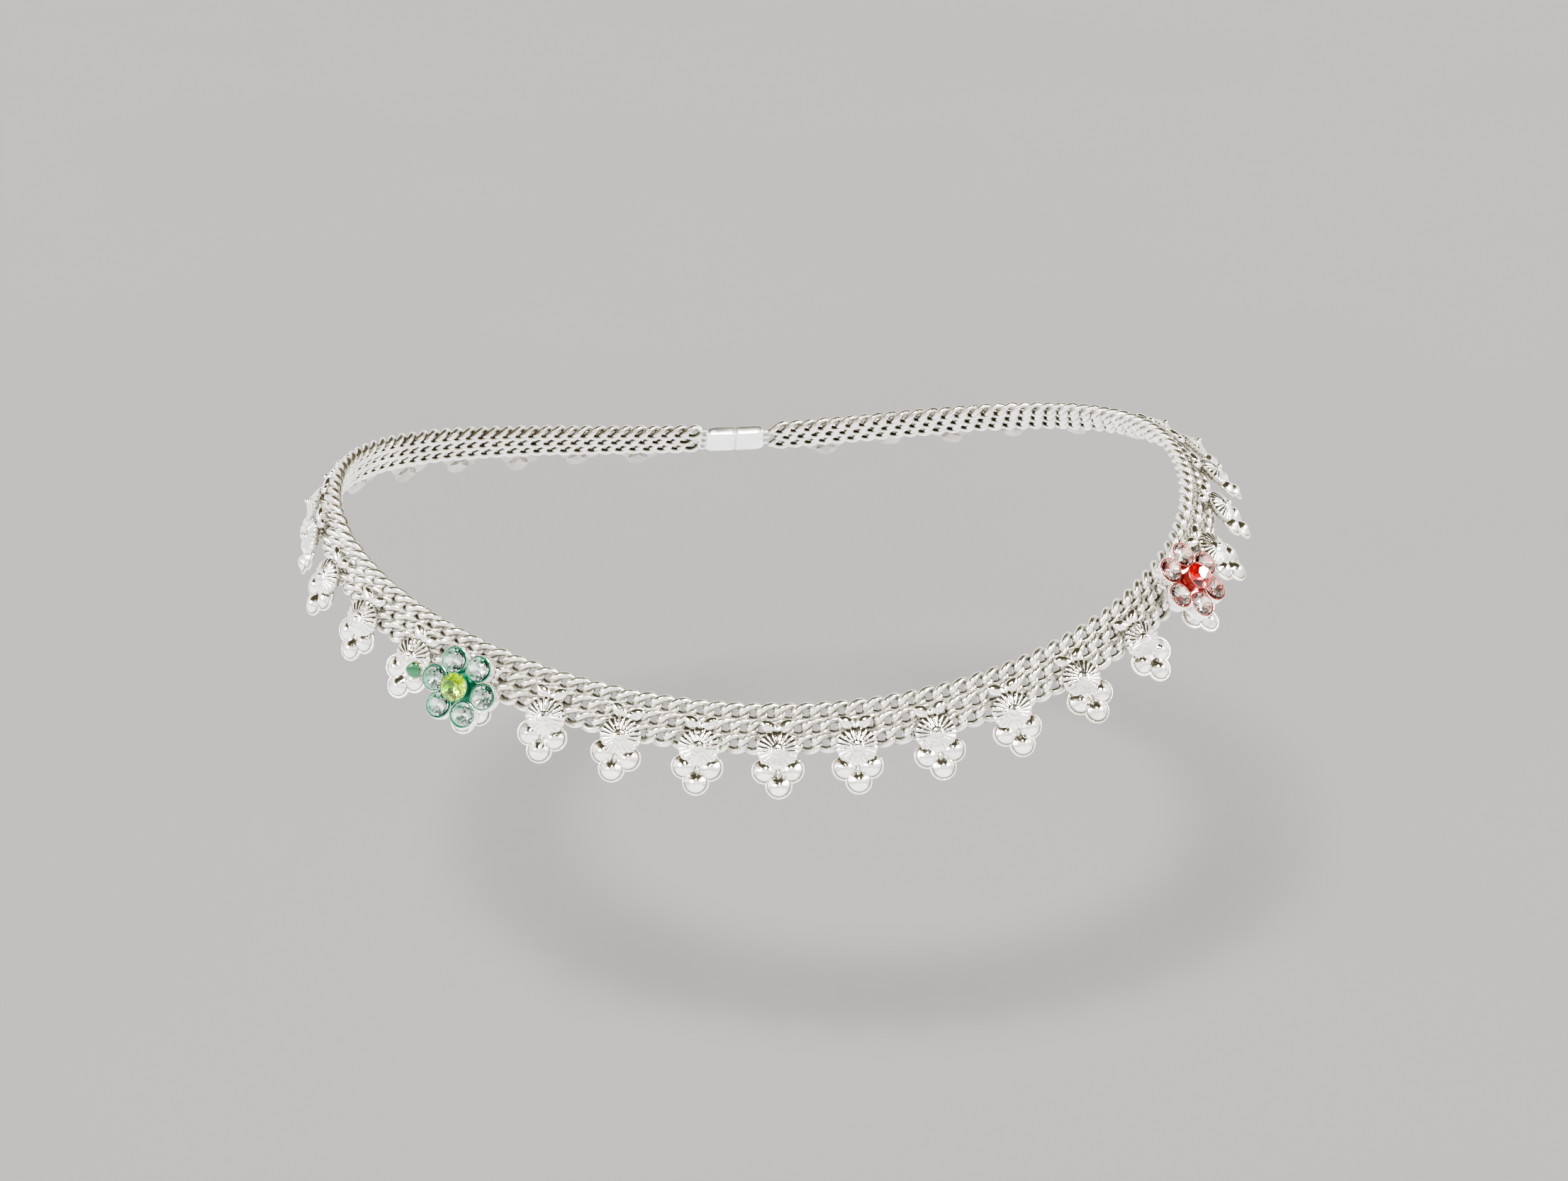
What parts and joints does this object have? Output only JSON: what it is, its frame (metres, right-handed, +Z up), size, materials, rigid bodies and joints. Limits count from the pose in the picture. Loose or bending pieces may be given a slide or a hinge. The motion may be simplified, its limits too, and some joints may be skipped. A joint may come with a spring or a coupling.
{
  "type": "payal anklet",
  "caption": "Payal anklet in its worn form: a woven curb-link chain band edged with stamped silver motifs, with a green and a red stone flower and a plain clasp behind.",
  "frame": {"origin": "middle of the loop in plan, at the mean height of the band's top edge, where the ankle passes through", "axes": "+X from heel to instep, -Y the side with the flowers, +Z up the leg"},
  "size_m": [0.1079, 0.0832, 0.0181],
  "materials": {
    "polished_silver": "bright polished silver",
    "clasp_silver": "polished silver, finely brushed",
    "green_enamel": "translucent green enamel on a silver plate",
    "red_enamel": "translucent dusty red enamel on a silver plate",
    "dot_enamel": "dark green enamel",
    "clear_stone": "cut and polished clear glass",
    "green_stone": "cut and polished yellow-green glass",
    "red_stone": "cut and polished red glass"
  },
  "bodies": {
    "root": {"chain_band": "polished_silver", "clasp": "clasp_silver", "motif_01": "polished_silver", "motif_02": "polished_silver", "motif_03": "polished_silver", "motif_04": "polished_silver", "motif_05": "polished_silver", "motif_06": "polished_silver", "motif_07": "polished_silver", "motif_08": "polished_silver", "motif_09": "polished_silver", "motif_10": "polished_silver", "motif_11": "polished_silver", "motif_12": "polished_silver", "motif_13": "polished_silver", "motif_14": "polished_silver", "motif_15": "polished_silver", "motif_16": "polished_silver", "motif_17": "polished_silver", "motif_18": "polished_silver", "motif_19": "polished_silver", "motif_20": "polished_silver", "motif_21": "polished_silver", "motif_22": "polished_silver", "motif_23": "polished_silver", "motif_24": "polished_silver", "motif_25": "polished_silver", "motif_26": "polished_silver", "motif_27": "polished_silver", "motif_28": "polished_silver", "motif_29": "polished_silver", "motif_30": "polished_silver", "motif_31": "polished_silver", "motif_32": "polished_silver", "motif_33": "polished_silver", "motif_34": "polished_silver", "green_flower_plate": "green_enamel", "green_petal_stone_1": "clear_stone", "green_petal_stone_2": "clear_stone", "green_petal_stone_3": "clear_stone", "green_petal_stone_4": "clear_stone", "green_petal_stone_5": "clear_stone", "green_petal_stone_6": "clear_stone", "green_centre_stone": "green_stone", "red_flower_plate": "red_enamel", "red_petal_stone_1": "clear_stone", "red_petal_stone_2": "clear_stone", "red_petal_stone_3": "clear_stone", "red_petal_stone_4": "clear_stone", "red_petal_stone_5": "clear_stone", "red_petal_stone_6": "clear_stone", "red_centre_stone": "red_stone", "green_dot": "dot_enamel"}
  },
  "joints": []
}
